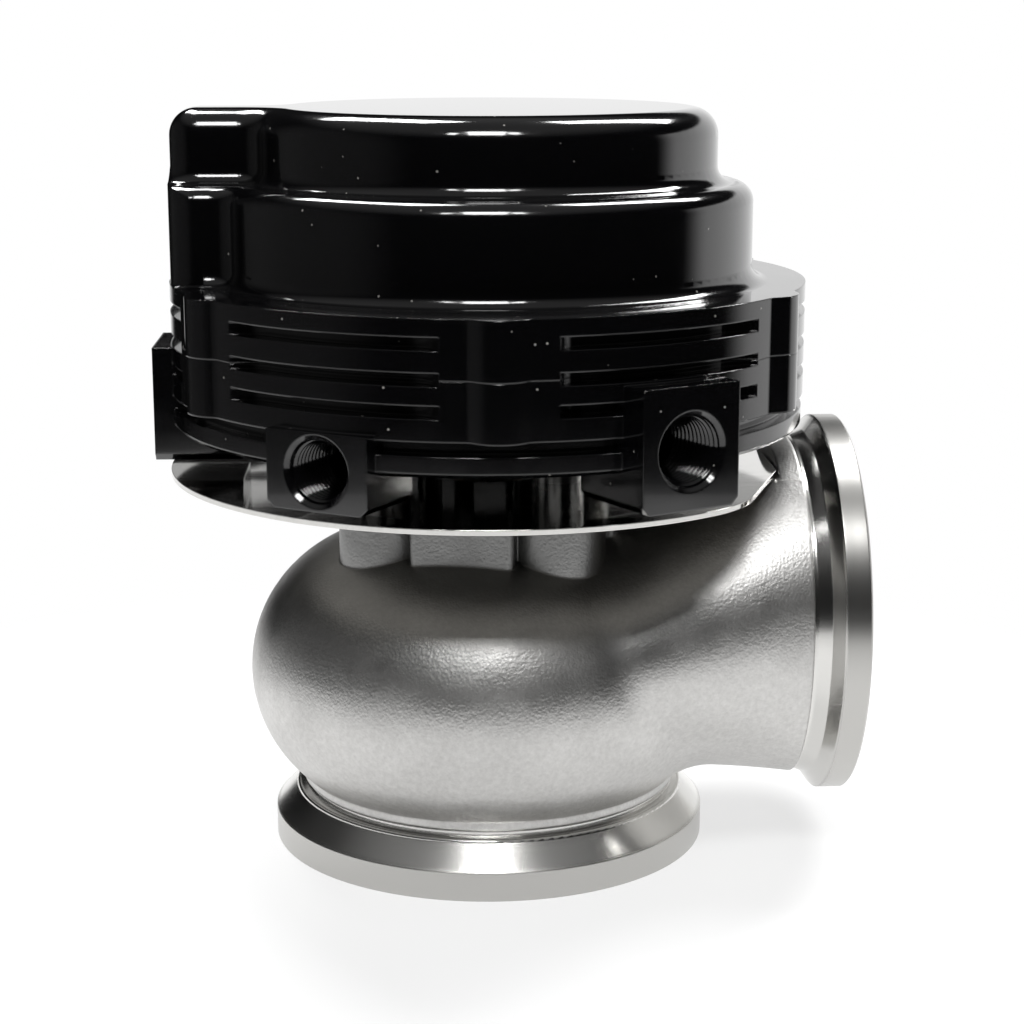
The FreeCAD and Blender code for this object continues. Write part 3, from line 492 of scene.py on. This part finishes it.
world = bpy.data.worlds.new("room")
bpy.context.scene.world = world
world.use_nodes = True
tree = world.node_tree
tree.nodes.clear()
facing = add(tree, "SeparateXYZ", inputs={"Vector": add(tree, "TexCoord").outputs["Generated"]}).outputs
top = add(tree, "MapRange", inputs={"Value": facing["X"], "From Min": WALL_TURN[0],
                                    "From Max": WALL_TURN[1], "To Min": WALL_TOP[0], "To Max": WALL_TOP[1]})
under = add(tree, "Math", {"operation": "SUBTRACT"}, {0: top.outputs["Result"], 1: facing["Z"]})
below_top = add(tree, "MapRange", SMOOTH, {"Value": under.outputs[0], "From Min": -0.02, "From Max": 0.04})
behind = add(tree, "MapRange", SMOOTH, {"Value": facing["Y"], "From Min": -0.05, "From Max": 0.25})
to_right = add(tree, "MapRange", SMOOTH, {"Value": facing["X"], "From Min": -0.40, "From Max": -0.18})
wall = add(tree, "Math", {"operation": "MULTIPLY"}, {0: below_top.outputs["Result"],
                                                     1: behind.outputs["Result"]})
wall = add(tree, "Math", {"operation": "MULTIPLY"}, {0: wall.outputs[0], 1: to_right.outputs["Result"]})
left = add(tree, "MapRange", SMOOTH, {"Value": facing["X"], "From Min": -0.6, "From Max": -0.95,
                                      "To Min": LEFT_WALL[0], "To Max": LEFT_WALL[1]})
ceiling = add(tree, "MapRange", SMOOTH, {"Value": facing["Z"], "From Min": 0.5, "From Max": 0.9,
                                         "To Max": CEILING})
level = add(tree, "Math", {"operation": "MAXIMUM"}, {0: wall.outputs[0], 1: left.outputs["Result"]})
level = add(tree, "Math", {"operation": "MAXIMUM"}, {0: level.outputs[0], 1: ceiling.outputs["Result"]})
seen = add(tree, "LightPath").outputs["Is Camera Ray"]
level = add(tree, "Math", {"operation": "MAXIMUM"}, {0: level.outputs[0], 1: seen})
room = add(tree, "Background", inputs={"Color": WHITE, "Strength": level.outputs[0]})
add(tree, "OutputWorld", inputs={"Surface": room.outputs[0]})
print("room has", len(tree.nodes), "nodes")

# %% [markdown]
# A panel's energy is its brightness times its area times pi, so two panels of one brightness look equally
# bright in a reflection, whatever their size. All of them point at the middle of the actuator.

# %% Lamps
FRONT_LAMP = 19.0
BACK_LAMP = 26.0
FILL_LAMP = 1.0
AIM = Vector((0, 0, 0.09))


def panel(name, azimuth, elevation, width, height, brightness):
    """A soft rectangular lamp 1 m from its aim. Azimuth runs from -Y towards +X, both angles in degrees."""
    a, e = math.radians(azimuth), math.radians(elevation)
    spot = AIM + Vector((math.cos(e) * math.sin(a), -math.cos(e) * math.cos(a), math.sin(e)))
    data = bpy.data.lights.new(name, "AREA")
    data.shape = "RECTANGLE"
    data.size = width
    data.size_y = height
    data.energy = brightness * math.pi * width * height
    lamp = bpy.data.objects.new(name, data)
    lamp.location = spot
    lamp.rotation_euler = (AIM - spot).to_track_quat("-Z", "Y").to_euler()
    bpy.context.scene.collection.objects.link(lamp)
    print(name, "gives", round(data.energy, 2), "W")
    return lamp


panel("front_middle", -4, 53, width=0.26, height=0.24, brightness=FRONT_LAMP)
panel("front_left", -24, 50, width=0.06, height=0.12, brightness=FRONT_LAMP)
panel("front_right", 14, 52, width=0.07, height=0.14, brightness=FRONT_LAMP)
panel("back_left", -152, 57, width=0.21, height=0.56, brightness=BACK_LAMP)
panel("back_right", 130, 53, width=0.20, height=0.60, brightness=BACK_LAMP)
scrim = panel("table_fill", -20, 66, width=0.9, height=0.7, brightness=FILL_LAMP)
scrim.visible_glossy = False

# %% [markdown]
# The camera stands a little to the left of the part and looks slightly down on it. A fairly long lens keeps
# the flanges' ellipses calm, as product pictures do.

# %% Camera
CAMERA_AT_MM = Vector((-17.32, -348.44, 130.85))
LOOKS_DOWN, LOOKS_RIGHT = 12.776, 3.462     # degrees

camera_data = bpy.data.cameras.new("camera")
camera_data.lens = 79.17
camera_data.sensor_width = 36.0
camera = bpy.data.objects.new("camera", camera_data)
camera.location = CAMERA_AT_MM * MM
camera.rotation_euler = (math.radians(90 - LOOKS_DOWN), 0.0, math.radians(-LOOKS_RIGHT))
bpy.context.scene.collection.objects.link(camera)
bpy.context.scene.camera = camera
bpy.context.scene.view_settings.view_transform = "Standard"
print("camera at", [round(c, 3) for c in camera.location])
